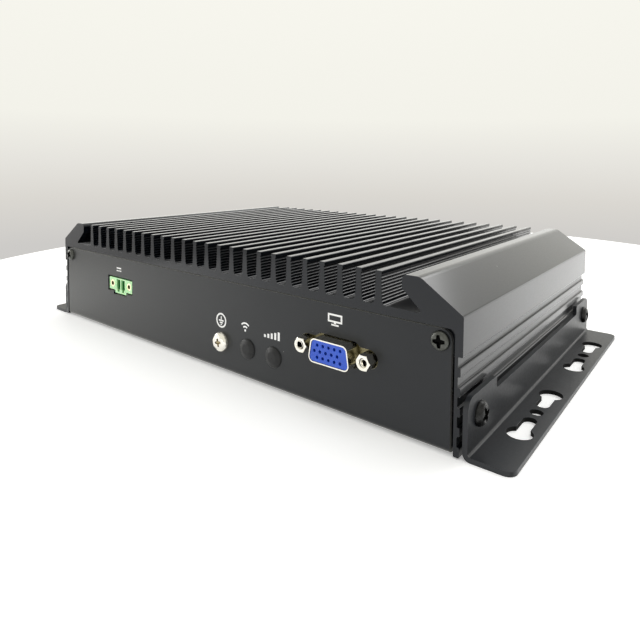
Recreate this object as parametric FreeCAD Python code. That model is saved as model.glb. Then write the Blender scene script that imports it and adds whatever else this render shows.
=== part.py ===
import FreeCAD, Part
import math
import os

# Fanless industrial computer: a finned aluminium extrusion over a folded steel tray.
# Units are millimetres, +Z is up and the connector panel in front looks towards -Y.
# The origin is at the middle of the standing plane, the underside of both mounting flanges.

# ---- driving sizes: extruded body
BODY_WIDTH = 223.0
BODY_DEPTH = 142.0
FOOT_LIFT = 0.5          # foot of the extrusion above the standing plane
SIDE_HEIGHT = 39.5       # foot to the outer corner of the shoulder
SHOULDER_RISE = 9.1      # that corner to the level of the fin tips
FIN_HEIGHT = 10.4        # fin tips to the floor of the valleys
ROOF_THICK = 2.7
WALL_THICK = 2.4
GROOVE_COUNT = 5
GROOVE_DROP = 11.3       # outer corner of the shoulder to the top of the first groove
GROOVE_SHARE = 0.54      # part of each step that is groove, the rest is lip
GROOVE_DEPTH = 1.4
LIP_INSET = 0.6          # face of the lips behind the plain side above them
LOW_LIP = 3.0            # height of the lowest lip, at the foot
FIN_COUNT = 24
FIN_MARGIN = 7.05         # nose of the shoulder to the first fin
FIN_TIP_THICK = 2.1
FIN_ROOT_THICK = 3.2
TOOTH_PITCH = 0.92
TOOTH_DEPTH = 0.4
TOOTH_RISE = 0.3         # part of each tooth that faces up, the rest faces down
SHOULDER_INSET = 19.4    # outer side to the inner nose of the shoulder
SHOULDER_RUN = 13.5      # sideways run of the shoulder slope
NOSE_HEIGHT = 4.1        # upright face of the nose
UNDERCUT_REACH = 7.0     # how far the undercut goes behind the nose, down at the floor
BLOCK_SIZE = 7.6         # square screw block in each inner top corner

# ---- driving sizes: folded tray
SHEET = 1.2
TRAY_SIDE_GAP = 1.0
TRAY_TOP_GAP = 0.4
TRAY_LIFT = 0.3          # underside of the tray above the foot of the extrusion
TRAY_BEND = 0.4
TRAY_CORNER = 3.0

# ---- driving sizes: mounting brackets
BRACKET_SHEET = 1.5
BRACKET_BEND = 0.8
BRACKET_INSET = 0.5      # end of the body to the end of the bracket
FLANGE_WIDTH = 14.4
FLANGE_CORNER = 3.0
TAB_HEIGHT = 17.4
TAB_LENGTH = 21.3
TAB_CORNER = 3.6
LOW_WALL_HEIGHT = 13.6
HOLE_LINE = 8.6          # outer side of the body to the line of flange holes
HOLE_GROUP_SPACING = 64.1
KEYHOLE_OFFSET = 16.4    # small round hole to the big end of each keyhole
KEYHOLE_TRAVEL = 9.6
KEYHOLE_BIG = 8.0
SLOT_WIDTH = 4.3
ROUND_HOLE = 4.3
TAB_SCREW_INSET = 8.8   # end of the body to the tab screw
TAB_SCREW_Z = 10.7

# ---- driving sizes: fasteners, all as radii
M3_SHANK = 1.28
M3_HEAD = 2.85
M4_SHANK = 1.95
M4_HEAD = 3.7
EARTH_HEAD = 3.8
PRESS_BARREL = 2.85      # barrel of a press nut or rivet nut
NUT_FLANGE = 4.4         # outer flange of a rivet nut
NUT_RISE = 0.68          # thickness of that flange
CORNER_SCREW_INSET = 4.3 # inner side wall to the corner screw
CORNER_SCREW_DROP = 3.8  # roof to the corner screw

# ---- driving sizes: circuit board and what carries it
STANDOFF_LENGTH = 7.4
STANDOFF_FLATS = 5.5
BOARD_THICK = 1.6
BOARD_SIDE_GAP = 6.8     # side wall to the edge of the board
BOARD_END_GAP = 2.8      # end panel to the edge of the board
OUTER_POST_INSET = 5.0   # edge of the board to the outer standoffs
OUTER_POST_END = 14.0
INNER_POST_X = 30.0
INNER_POST_END = 24.2

# ---- driving sizes: connectors
PORT_TO_BOARD = 5.85     # centre line of a D connector below the board
POST_SPACING = 25.0      # between the two jack posts
POST_FLATS = 4.6
D_WIDE = 8.3             # half width of the D shell at its wide side
D_NARROW = 7.1
D_HALF = 3.95            # half height of the D shell
VGA_FROM_SIDE = 42.8
PLUG_FROM_VGA = 28.3
PLUG_SPACING = 13.2
PLUG_Z = 12.2
PLUG_HEAD = 3.9
PLUG_BARREL = 3.15
GROUND_FROM_PLUG = 14.2
GROUND_Z = 12.0
HEADER_FROM_SIDE = 52.5
HEADER_DROP = 4.0        # board to the centre line of the power header
HEADER_HALF = 9.5
HEADER_TALL = 2.9        # half height of its long rectangle
CONTACT_PITCH = 3.81
USB_WIDE = 13.2
USB_TALL = 15.4
LAN_WIDE = 15.9
LAN_TALL = 13.4
HDMI_WIDE = 15.0
HDMI_TALL = 5.6
SHELL_METAL = 0.35
BUTTON_DROP = 7.5        # board to the centre line of the push button
BUTTON_RADIUS = 4.5
BUTTON_COLLAR = 5.2
BUTTON_BARREL = 6.0
BUTTON_RIM = 7.2
BUTTON_TRAVEL = 1.2
LIGHT_RADIUS = 1.5

# ---- clearances
FIT = 0.1                # between a piece and the cut-out it passes
PASS_GAP = 0.35          # between a screw and a plain hole
THREAD_GAP = 0.03        # between a screw and the hole it is threaded into
PRESS_GAP = 0.03         # between a press nut and its hole
PORT_GAP = 0.35          # around a connector in its panel cut-out
HEADER_GAP = 0.8         # around the power header
CORE_GAP = 0.08          # between a moulded core and its metal shell
SOLDER_GAP = 0.02        # between a connector and the board
RUN = 0.08               # running gap of the push button
PAD = 0.5                # thickness of a thermal pad

# ---- sizes that follow from the ones above
HALF_W = BODY_WIDTH / 2
HALF_D = BODY_DEPTH / 2
FRONT = -HALF_D
REAR = HALF_D
FOOT = FOOT_LIFT
SHOULDER_Z = FOOT + SIDE_HEIGHT
TIP_Z = SHOULDER_Z + SHOULDER_RISE
FLOOR_Z = TIP_Z - FIN_HEIGHT
ROOF_Z = FLOOR_Z - ROOF_THICK
INNER_X = HALF_W - WALL_THICK
LIP_X = HALF_W - LIP_INSET
BRACKET_X = LIP_X + NUT_RISE + 0.02
PANEL_IN = HALF_D - SHEET
TRAY_X = INNER_X - TRAY_SIDE_GAP
TRAY_Z = FOOT + TRAY_LIFT
TRAY_FLOOR = TRAY_Z + SHEET
TRAY_TOP = ROOF_Z - TRAY_TOP_GAP
BOARD_TOP = ROOF_Z - STANDOFF_LENGTH
BOARD_LOW = BOARD_TOP - BOARD_THICK
BOARD_X = INNER_X - BOARD_SIDE_GAP
BOARD_Y = PANEL_IN - BOARD_END_GAP
SEAT_Z = BOARD_LOW - SOLDER_GAP
PORT_Z = BOARD_LOW - PORT_TO_BOARD
CORNER_SCREW_X = INNER_X - CORNER_SCREW_INSET
CORNER_SCREW_Z = ROOF_Z - CORNER_SCREW_DROP
TAB_SCREW_Y = HALF_D - TAB_SCREW_INSET
VGA_X = HALF_W - VGA_FROM_SIDE
PLUG_X2 = VGA_X - PLUG_FROM_VGA
PLUG_X1 = PLUG_X2 - PLUG_SPACING
GROUND_X = PLUG_X1 - GROUND_FROM_PLUG
HEADER_X = HEADER_FROM_SIDE - HALF_W
HEADER_Z = BOARD_LOW - HEADER_DROP
BUTTON_Z = BOARD_LOW - BUTTON_DROP
POST_REACH = POST_FLATS / math.sqrt(3)

# rear connectors, spread over the panel from left to right with equal gaps
rear_row = [
    ("com", POST_SPACING + 2 * POST_REACH), ("hdmi", HDMI_WIDE), ("usb_1", USB_WIDE), ("usb_2", USB_WIDE),
    ("lan_1", LAN_WIDE), ("lan_2", LAN_WIDE), ("lights", 2 * LIGHT_RADIUS), ("button", 2 * BUTTON_RIM),
]
rear_gap = (2 * TRAY_X - sum(width for name, width in rear_row)) / (len(rear_row) + 1)
rear_x = {}
edge = -TRAY_X
for name, width in rear_row:
    rear_x[name] = edge + rear_gap + width / 2
    edge = edge + rear_gap + width

OUT = "parts"
os.makedirs(OUT, exist_ok=True)


def vec(x, y, z):
    return FreeCAD.Vector(x, y, z)


def box(x0, x1, y0, y1, z0, z1):
    return Part.makeBox(x1 - x0, y1 - y0, z1 - z0, vec(x0, y0, z0))


def block(cx, cy, half_x, half_y, z0, z1):
    return box(cx - half_x, cx + half_x, cy - half_y, cy + half_y, z0, z1)


def rod(radius, length, base, axis):
    return Part.makeCylinder(radius, length, vec(*base), vec(*axis))


def outline(corners, place):
    """Closed wire through corners (a, b, radius); each corner is rounded by a tangent arc."""
    count = len(corners)
    edges = []
    starts = []
    ends = []
    mids = []
    for i in range(count):
        pa, pb, radius = corners[i]
        here = vec(pa, pb, 0)
        before = vec(corners[i - 1][0], corners[i - 1][1], 0) - here
        after = vec(corners[(i + 1) % count][0], corners[(i + 1) % count][1], 0) - here
        before.normalize()
        after.normalize()
        turn = before.getAngle(after)
        if radius <= 0 or abs(turn - math.pi) < 1e-6:
            starts.append(here)
            ends.append(here)
            mids.append(None)
            continue
        back = radius / math.tan(turn / 2)
        bisector = before + after
        bisector.normalize()
        starts.append(here + before * back)
        ends.append(here + after * back)
        mids.append(here + bisector * (radius / math.sin(turn / 2) - radius))
    for i in range(count):
        if mids[i] is not None:
            edges.append(Part.Arc(place(starts[i]), place(mids[i]), place(ends[i])).toShape())
        j = (i + 1) % count
        if (ends[i] - starts[j]).Length > 1e-6:
            edges.append(Part.makeLine(place(ends[i]), place(starts[j])))
    return Part.Wire(edges)


def along_y(corners, y0, y1):
    """Solid with an outline given in X and Z, extruded from y0 to y1."""
    wire = outline(corners, lambda p: vec(p.x, y0, p.y))
    return Part.Face(wire).extrude(vec(0, y1 - y0, 0))


def along_x(corners, x0, x1):
    """Solid with an outline given in Y and Z, extruded from x0 to x1."""
    wire = outline(corners, lambda p: vec(x0, p.x, p.y))
    return Part.Face(wire).extrude(vec(x1 - x0, 0, 0))


def along_z(corners, z0, z1):
    """Solid with an outline given in X and Y, extruded from z0 to z1."""
    wire = outline(corners, lambda p: vec(p.x, p.y, z0))
    return Part.Face(wire).extrude(vec(0, 0, z1 - z0))


def rectangle(cx, cy, half_x, half_y, radius):
    return [(cx - half_x, cy - half_y, radius), (cx + half_x, cy - half_y, radius),
            (cx + half_x, cy + half_y, radius), (cx - half_x, cy + half_y, radius)]


def turned(profile, base, axis):
    """Solid of revolution: profile is (distance along axis, radius, corner radius) from base."""
    wire = outline(profile, lambda p: vec(p.y, 0, p.x))
    solid = Part.Face(wire).revolve(vec(0, 0, 0), vec(0, 0, 1), 360)
    turn = FreeCAD.Rotation(vec(0, 0, 1), vec(*axis))
    solid.Placement = FreeCAD.Placement(vec(*base), turn)
    return solid


def hexagon(flats, length, base, axis):
    reach = flats / math.sqrt(3)
    points = [vec(reach * math.cos(math.pi * i / 3), reach * math.sin(math.pi * i / 3), 0) for i in range(7)]
    solid = Part.Face(Part.makePolygon(points)).extrude(vec(0, 0, length))
    turn = FreeCAD.Rotation(vec(0, 0, 1), vec(*axis))
    solid.Placement = FreeCAD.Placement(vec(*base), turn)
    return solid


def cut_all(solid, tools):
    return solid.cut(Part.makeCompound(tools))


def save(name, *solids):
    shape = solids[0] if len(solids) == 1 else Part.makeCompound(list(solids))
    shape.exportStep(os.path.join(OUT, name + ".step"))


# ---- heatsink_body: one extrusion with toothed fins, hooked shoulders and grooved sides
ROOT_FILLET = 1.0
TIP_ROUND = 0.25
TOOTH_START = 1.1        # valley floor to the first tooth
TOOTH_END = 1.1          # last tooth to the fin tip


def fin_side(x_root, x_tip, outward):
    """Toothed fin side from the root up to the tip; outward is +1 or -1 along X."""
    first = FLOOR_Z + TOOTH_START
    last = TIP_Z - TOOTH_END
    teeth = int((last - first) / TOOTH_PITCH)
    step = (last - first) / teeth
    slope = (x_tip - x_root) / FIN_HEIGHT
    points = [(x_root, FLOOR_Z, ROOT_FILLET)]
    for i in range(teeth):
        ridge = first + i * step
        notch = ridge + step * TOOTH_RISE
        points.append((x_root + slope * (ridge - FLOOR_Z), ridge, 0))
        points.append((x_root + slope * (notch - FLOOR_Z) - outward * TOOTH_DEPTH, notch, 0))
    points.append((x_root + slope * (last - FLOOR_Z), last, 0))
    points.append((x_tip, TIP_Z, TIP_ROUND))
    return points


def side_profile():
    """Outer right side from the foot up to the shoulder corner, with lips between the grooves."""
    low = FOOT + LOW_LIP
    top = SHOULDER_Z - GROOVE_DROP
    step = (top - low) / (GROOVE_COUNT - 1 + GROOVE_SHARE)
    inner = HALF_W - GROOVE_DEPTH
    points = [(LIP_X, FOOT, 0.3)]
    for i in range(GROOVE_COUNT):
        floor_low = low + i * step
        floor_top = floor_low + step * GROOVE_SHARE
        above = HALF_W if i == GROOVE_COUNT - 1 else LIP_X
        points.append((LIP_X, floor_low, 0.4))
        points.append((inner, floor_low, 0.25))
        points.append((inner, floor_top, 0.25))
        points.append((above, floor_top, 0.4))
    points.append((HALF_W, SHOULDER_Z, 0.9))
    return points


def shoulder_profile():
    """From the shoulder slope over the rounded top and nose down the undercut to the valley."""
    nose = HALF_W - SHOULDER_INSET
    behind = nose + UNDERCUT_REACH
    nose_low = TIP_Z - NOSE_HEIGHT
    return [
        (HALF_W - SHOULDER_RUN, TIP_Z, 4.0),
        (nose, TIP_Z, 1.6),
        (nose, nose_low, 1.2),
        (behind, FLOOR_Z, 0.5),
    ]


fin_field = HALF_W - SHOULDER_INSET - FIN_MARGIN - FIN_TIP_THICK / 2
fin_pitch = 2 * fin_field / (FIN_COUNT - 1)
fin_line = []
for k in range(FIN_COUNT):
    centre = fin_field - k * fin_pitch
    half_root = FIN_ROOT_THICK / 2
    half_tip = FIN_TIP_THICK / 2
    fin_line += fin_side(centre + half_root, centre + half_tip, 1)
    fin_line += fin_side(centre - half_root, centre - half_tip, -1)[::-1]
right = side_profile() + shoulder_profile()
left = [(-x, z, r) for x, z, r in right][::-1]
block_x = INNER_X - BLOCK_SIZE
block_z = ROOF_Z - BLOCK_SIZE
under = [
    (-INNER_X, FOOT, 0.2), (-INNER_X, block_z, 0.5), (-block_x, block_z, 2.0), (-block_x, ROOF_Z, 0.8),
    (block_x, ROOF_Z, 0.8), (block_x, block_z, 2.0), (INNER_X, block_z, 0.5), (INNER_X, FOOT, 0.2),
]
heatsink_body = along_y(right + fin_line + left + under, FRONT, REAR)

# the screw blocks are milled back at both ends so that the tray's end panels sit flush
BLOCK_SEAT = SHEET + 0.05
CORNER_TAP = 15.0        # depth of the threaded hole in a block
POST_TAP = 1.8           # depth of a standoff hole in the roof
POST_STUD = 1.45
body_cuts = []
for end in (-1, 1):
    y0 = min(end * HALF_D, end * (HALF_D - BLOCK_SEAT))
    body_cuts.append(box(-INNER_X, INNER_X, y0, y0 + BLOCK_SEAT, block_z - 0.5, ROOF_Z))
    for sx in (-1, 1):
        start = (sx * CORNER_SCREW_X, end * HALF_D, CORNER_SCREW_Z)
        body_cuts.append(rod(M3_SHANK + THREAD_GAP, CORNER_TAP, start, (0, -end, 0)))
for sx in (-1, 1):
    for sy in (-1, 1):
        start = (sx * HALF_W, sy * TAB_SCREW_Y, TAB_SCREW_Z)
        body_cuts.append(rod(PRESS_BARREL + PRESS_GAP, WALL_THICK, start, (-sx, 0, 0)))
post_points = []
for sx in (-1, 1):
    for sy in (-1, 1):
        post_points.append((sx * (BOARD_X - OUTER_POST_INSET), sy * (BOARD_Y - OUTER_POST_END)))
        post_points.append((sx * INNER_POST_X, sy * (BOARD_Y - INNER_POST_END)))
for px, py in post_points:
    body_cuts.append(rod(POST_STUD + THREAD_GAP, POST_TAP, (px, py, ROOF_Z), (0, 0, 1)))
heatsink_body = cut_all(heatsink_body, body_cuts)
save("heatsink_body", heatsink_body)

# ---- chassis_tray: floor and both end panels folded from one sheet
outer_bend = TRAY_BEND + SHEET
tray_section = [
    (FRONT, TRAY_TOP, 0), (FRONT, TRAY_Z, outer_bend), (REAR, TRAY_Z, outer_bend), (REAR, TRAY_TOP, 0),
    (PANEL_IN, TRAY_TOP, 0), (PANEL_IN, TRAY_FLOOR, TRAY_BEND),
    (-PANEL_IN, TRAY_FLOOR, TRAY_BEND), (-PANEL_IN, TRAY_TOP, 0),
]
chassis_tray = along_x(tray_section, -TRAY_X, TRAY_X)
face_shape = [
    (-TRAY_X, TRAY_Z - 1, 0), (TRAY_X, TRAY_Z - 1, 0),
    (TRAY_X, TRAY_TOP, TRAY_CORNER), (-TRAY_X, TRAY_TOP, TRAY_CORNER),
]
chassis_tray = chassis_tray.common(along_y(face_shape, FRONT - 1, REAR + 1))


def d_opening(cx, y0, y1):
    """Cut-out for a D connector: an eight-sided middle with a round-ended ear on each side."""
    ear = POST_REACH + PORT_GAP
    tall = D_HALF + PORT_GAP
    wide = D_WIDE + 2 * PORT_GAP
    chamfer = 1.8
    middle = [
        (cx - wide + chamfer, PORT_Z - tall, 1.0), (cx + wide - chamfer, PORT_Z - tall, 1.0),
        (cx + wide, PORT_Z - ear, 0.5), (cx + wide, PORT_Z + ear, 0.5),
        (cx + wide - chamfer, PORT_Z + tall, 1.0), (cx - wide + chamfer, PORT_Z + tall, 1.0),
        (cx - wide, PORT_Z + ear, 0.5), (cx - wide, PORT_Z - ear, 0.5),
    ]
    ears = along_y(rectangle(cx, PORT_Z, POST_SPACING / 2 + ear, ear, ear - 0.01), y0, y1)
    return along_y(middle, y0, y1).fuse(ears)


def header_shape(grow, y0, y1):
    """Outline of the power header: a long rectangle with a wider keying bar below its middle."""
    wide = HEADER_HALF + grow
    top = HEADER_Z + HEADER_TALL + grow
    low = HEADER_Z - HEADER_TALL - grow
    bar = CONTACT_PITCH + 0.84 + grow
    drop = low - 1.3
    corners = [
        (HEADER_X - wide, low, 0.3), (HEADER_X - bar, low, 0), (HEADER_X - bar, drop, 0.3),
        (HEADER_X + bar, drop, 0.3), (HEADER_X + bar, low, 0), (HEADER_X + wide, low, 0.3),
        (HEADER_X + wide, top, 0.3), (HEADER_X - wide, top, 0.3),
    ]
    return along_y(corners, y0, y1)


LIGHT_RAISE = 3.0        # each status light above or below the button's centre line
PUNCH = SHEET + 2        # length of a punch through one panel
f0 = FRONT - 1
f1 = f0 + PUNCH
r0 = PANEL_IN - 1
r1 = r0 + PUNCH
tray_cuts = [
    d_opening(VGA_X, f0, f1),
    header_shape(HEADER_GAP, f0, f1),
    rod(PLUG_BARREL + FIT, PUNCH, (PLUG_X1, f0, PLUG_Z), (0, 1, 0)),
    rod(PLUG_BARREL + FIT, PUNCH, (PLUG_X2, f0, PLUG_Z), (0, 1, 0)),
    rod(PRESS_BARREL + PRESS_GAP, PUNCH, (GROUND_X, f0, GROUND_Z), (0, 1, 0)),
    d_opening(rear_x["com"], r0, r1),
    rod(BUTTON_BARREL + FIT, PUNCH, (rear_x["button"], r0, BUTTON_Z), (0, 1, 0)),
    rod(LIGHT_RADIUS + FIT, PUNCH, (rear_x["lights"], r0, BUTTON_Z + LIGHT_RAISE), (0, 1, 0)),
    rod(LIGHT_RADIUS + FIT, PUNCH, (rear_x["lights"], r0, BUTTON_Z - LIGHT_RAISE), (0, 1, 0)),
]
for name, wide, tall in (
    ("usb_1", USB_WIDE, USB_TALL), ("usb_2", USB_WIDE, USB_TALL), ("lan_1", LAN_WIDE, LAN_TALL),
    ("lan_2", LAN_WIDE, LAN_TALL), ("hdmi", HDMI_WIDE, HDMI_TALL),
):
    window = rectangle(rear_x[name], SEAT_Z - tall / 2, wide / 2 + PORT_GAP, tall / 2 + PORT_GAP, 0.5)
    tray_cuts.append(along_y(window, r0, r1))
for sx in (-1, 1):
    for y0 in (f0, r0):
        tray_cuts.append(rod(M3_SHANK + PASS_GAP, PUNCH, (sx * CORNER_SCREW_X, y0, CORNER_SCREW_Z), (0, 1, 0)))
DRIVE_X = -20.0
DRIVE_Y = 2.0
DRIVE_WIDE = 100.0
DRIVE_DEEP = 69.9
DRIVE_TALL = 7.0
DRIVE_HOLE_X = 38.3
DRIVE_HOLE_Y = 30.9
SINK_RADIUS = 3.1        # countersink of a drive screw
drive_holes = []
for sx in (-1, 1):
    for sy in (-1, 1):
        drive_holes.append((DRIVE_X + sx * DRIVE_HOLE_X, DRIVE_Y + sy * DRIVE_HOLE_Y))
for px, py in drive_holes:
    tray_cuts.append(Part.makeCone(SINK_RADIUS, M3_SHANK + 0.27, SHEET, vec(px, py, TRAY_Z), vec(0, 0, 1)))
chassis_tray = cut_all(chassis_tray, tray_cuts)
save("chassis_tray", chassis_tray)


# ---- mounting brackets: an angle folded from one sheet, with two screw tabs and keyhole flange
def keyhole(cx, big_y, small_y):
    low = min(big_y, small_y)
    high = max(big_y, small_y)
    return [
        rod(KEYHOLE_BIG / 2, BRACKET_SHEET + 2, (cx, big_y, -1), (0, 0, 1)),
        box(cx - SLOT_WIDTH / 2, cx + SLOT_WIDTH / 2, low, high, -1, BRACKET_SHEET + 1),
        rod(SLOT_WIDTH / 2, BRACKET_SHEET + 2, (cx, small_y, -1), (0, 0, 1)),
    ]


def make_bracket(side):
    inner = BRACKET_X
    outer = HALF_W + FLANGE_WIDTH
    y_end = HALF_D - BRACKET_INSET
    section = [
        (inner, 0, BRACKET_BEND + BRACKET_SHEET), (outer, 0, 0), (outer, BRACKET_SHEET, 0),
        (inner + BRACKET_SHEET, BRACKET_SHEET, BRACKET_BEND), (inner + BRACKET_SHEET, TAB_HEIGHT, 0),
        (inner, TAB_HEIGHT, 0),
    ]
    solid = along_y(section, -y_end, y_end)
    tab_in = y_end - TAB_LENGTH
    leg = [
        (-y_end, -1, 0), (y_end, -1, 0), (y_end, TAB_HEIGHT, TAB_CORNER), (tab_in, TAB_HEIGHT, 0.8),
        (tab_in, LOW_WALL_HEIGHT, 0.8), (-tab_in, LOW_WALL_HEIGHT, 0.8), (-tab_in, TAB_HEIGHT, 0.8),
        (-y_end, TAB_HEIGHT, TAB_CORNER),
    ]
    foot = [
        (HALF_W - 5, -y_end, 0), (outer, -y_end, FLANGE_CORNER), (outer, y_end, FLANGE_CORNER),
        (HALF_W - 5, y_end, 0),
    ]
    solid = solid.common(along_x(leg, HALF_W - 5, outer + 5))
    solid = solid.common(along_z(foot, -1, TAB_HEIGHT + 1))
    line = HALF_W + HOLE_LINE
    small = KEYHOLE_OFFSET - KEYHOLE_TRAVEL
    cuts = []
    for middle in (-HOLE_GROUP_SPACING / 2, HOLE_GROUP_SPACING / 2):
        cuts.append(rod(ROUND_HOLE / 2, BRACKET_SHEET + 2, (line, middle, -1), (0, 0, 1)))
        cuts += keyhole(line, middle - KEYHOLE_OFFSET, middle - small)
        cuts += keyhole(line, middle + KEYHOLE_OFFSET, middle + small)
    for sy in (-1, 1):
        start = (HALF_W - 1, sy * TAB_SCREW_Y, TAB_SCREW_Z)
        cuts.append(rod(M4_SHANK + PASS_GAP, BRACKET_SHEET + 3, start, (1, 0, 0)))
    solid = cut_all(solid, cuts)
    if side < 0:
        solid = solid.mirror(vec(0, 0, 0), vec(1, 0, 0))
    return solid


save("mounting_bracket_right", make_bracket(1))
save("mounting_bracket_left", make_bracket(-1))


# ---- screws: pan heads turned as one profile with the shank
def pan_screw(head_r, head_h, shank_r, length, base, axis):
    """Base is under the head; axis points from the shank out through the head."""
    profile = [(-length, 0, 0), (-length, shank_r, 0.2), (0, shank_r, 0), (0, head_r, 0.15),
               (head_h * 0.45, head_r, head_h * 0.35), (head_h, head_r * 0.62, head_h * 0.4), (head_h, 0, 0)]
    return turned(profile, base, axis)


def rivet_nut(bore, wall, base, axis):
    """Base is the outer face of the sheet, which the flange sits on; the body swells behind it."""
    back = wall + 0.02
    profile = [(-back - 6.0, bore, 0), (-back - 6.0, PRESS_BARREL, 0.2), (-back - 2.4, PRESS_BARREL, 0),
               (-back - 1.2, 3.9, 0.4), (-back, 3.6, 0), (-back, PRESS_BARREL, 0), (0, PRESS_BARREL, 0),
               (0, NUT_FLANGE, 0), (NUT_RISE, NUT_FLANGE, 0.15), (NUT_RISE, bore, 0)]
    return turned(profile, base, axis)


def press_nut(bore, head_r, head_h, barrel_length, base, axis):
    """Base is the seat of the head on the sheet; axis points through the sheet along the barrel."""
    profile = [(-head_h, bore, 0), (-head_h, head_r, 0.3), (0, head_r, 0.15), (0, PRESS_BARREL, 0),
               (barrel_length, PRESS_BARREL, 0), (barrel_length, bore, 0)]
    return turned(profile, base, axis)


panel_screws = []
for end in (-1, 1):
    for sx in (-1, 1):
        base = (sx * CORNER_SCREW_X, end * HALF_D, CORNER_SCREW_Z)
        panel_screws.append(pan_screw(M3_HEAD, 1.5, M3_SHANK, 8.0, base, (0, end, 0)))
save("panel_screws", *panel_screws)

M4_HEAD_H = 2.0
bracket_screws = []
bracket_nuts = []
for sx in (-1, 1):
    for sy in (-1, 1):
        head_base = (sx * (BRACKET_X + BRACKET_SHEET), sy * TAB_SCREW_Y, TAB_SCREW_Z)
        bracket_screws.append(pan_screw(M4_HEAD, M4_HEAD_H, M4_SHANK, BRACKET_SHEET + 8.0, head_base, (sx, 0, 0)))
        nut_base = (sx * LIP_X, sy * TAB_SCREW_Y, TAB_SCREW_Z)
        bracket_nuts.append(rivet_nut(M4_SHANK + THREAD_GAP, LIP_X - INNER_X, nut_base, (sx, 0, 0)))
save("bracket_screws", *bracket_screws)
save("bracket_nuts", *bracket_nuts)

# ---- earth stud: a nickel pan screw in a pressed-in nut behind the front panel
save("ground_screw", pan_screw(EARTH_HEAD, 2.2, M4_SHANK, 6.5, (GROUND_X, FRONT, GROUND_Z), (0, -1, 0)))
ground_base = (GROUND_X, -PANEL_IN, GROUND_Z)
save("ground_nut", press_nut(M4_SHANK + THREAD_GAP, 4.2, 2.2, SHEET - 0.02, ground_base, (0, -1, 0)))


# ---- antenna_plug: moulded caps in the two aerial holes, with a snap ring behind the panel
def antenna_plug(cx):
    barrel = PLUG_BARREL
    snap = SHEET + 0.1
    profile = [
        (-1.1, 0, 0), (-1.05, 2.0, 2.5), (-0.55, 3.55, 0.5), (0, PLUG_HEAD, 0.1), (0, barrel, 0), (snap, barrel, 0),
        (snap + 0.4, barrel + 0.4, 0.1), (snap + 2.9, barrel - 0.25, 0.2), (snap + 2.9, barrel - 1.05, 0.1),
        (0.6, barrel - 1.05, 0.2), (0.6, 0, 0),
    ]
    return turned(profile, (cx, FRONT, PLUG_Z), (0, 1, 0))


save("antenna_plug_1", antenna_plug(PLUG_X1))
save("antenna_plug_2", antenna_plug(PLUG_X2))

# ---- D connectors: tapered shell on a flange, insulator, body and hexagonal jack posts
D_METAL = 0.4
D_FLANGE = 0.5           # thickness of the flange and its gap to the panel
D_STAND = 6.0            # shell in front of the panel's inner face
POST_LENGTH = 5.1
POST_THREAD = 1.35
POST_TAIL = 1.45
POST_SINK = 0.25         # countersink at the mouth of the thread
BODY_DEEP = 12.0
post_turning = [(0, 0, 0), (0, POST_REACH + 0.1, 0), (POST_LENGTH - 0.35, POST_REACH + 0.1, 0),
                (POST_LENGTH, POST_FLATS / 2 + 0.05, 0), (POST_LENGTH, 0, 0)]


def d_corners(cx, shrink, radius):
    """Tapered D outline, the wide side down because the board is above the connector."""
    wide = D_WIDE - shrink
    narrow = D_NARROW - shrink
    half = D_HALF - shrink
    return [(cx - wide, PORT_Z - half, radius), (cx + wide, PORT_Z - half, radius),
            (cx + narrow, PORT_Z + half, radius), (cx - narrow, PORT_Z + half, radius)]


def outward(end, a, b):
    """Y range between two distances outwards from the inner face of a panel."""
    ya = end * (PANEL_IN + a)
    yb = end * (PANEL_IN + b)
    return min(ya, yb), max(ya, yb)


def d_contacts(cx, sockets):
    """Contact centres: three rows of five sockets, or rows of five and four pins."""
    if sockets:
        rows = ((1.98, 5, 0.0), (0.0, 5, -1.145), (-1.98, 5, 0.0))
        pitch = 2.29
    else:
        rows = ((-1.42, 5, 0.0), (1.42, 4, 0.0))
        pitch = 2.77
    places = []
    for dz, count, shift in rows:
        for i in range(count):
            places.append((cx + (i - (count - 1) / 2) * pitch + shift, PORT_Z + dz))
    return places


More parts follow.
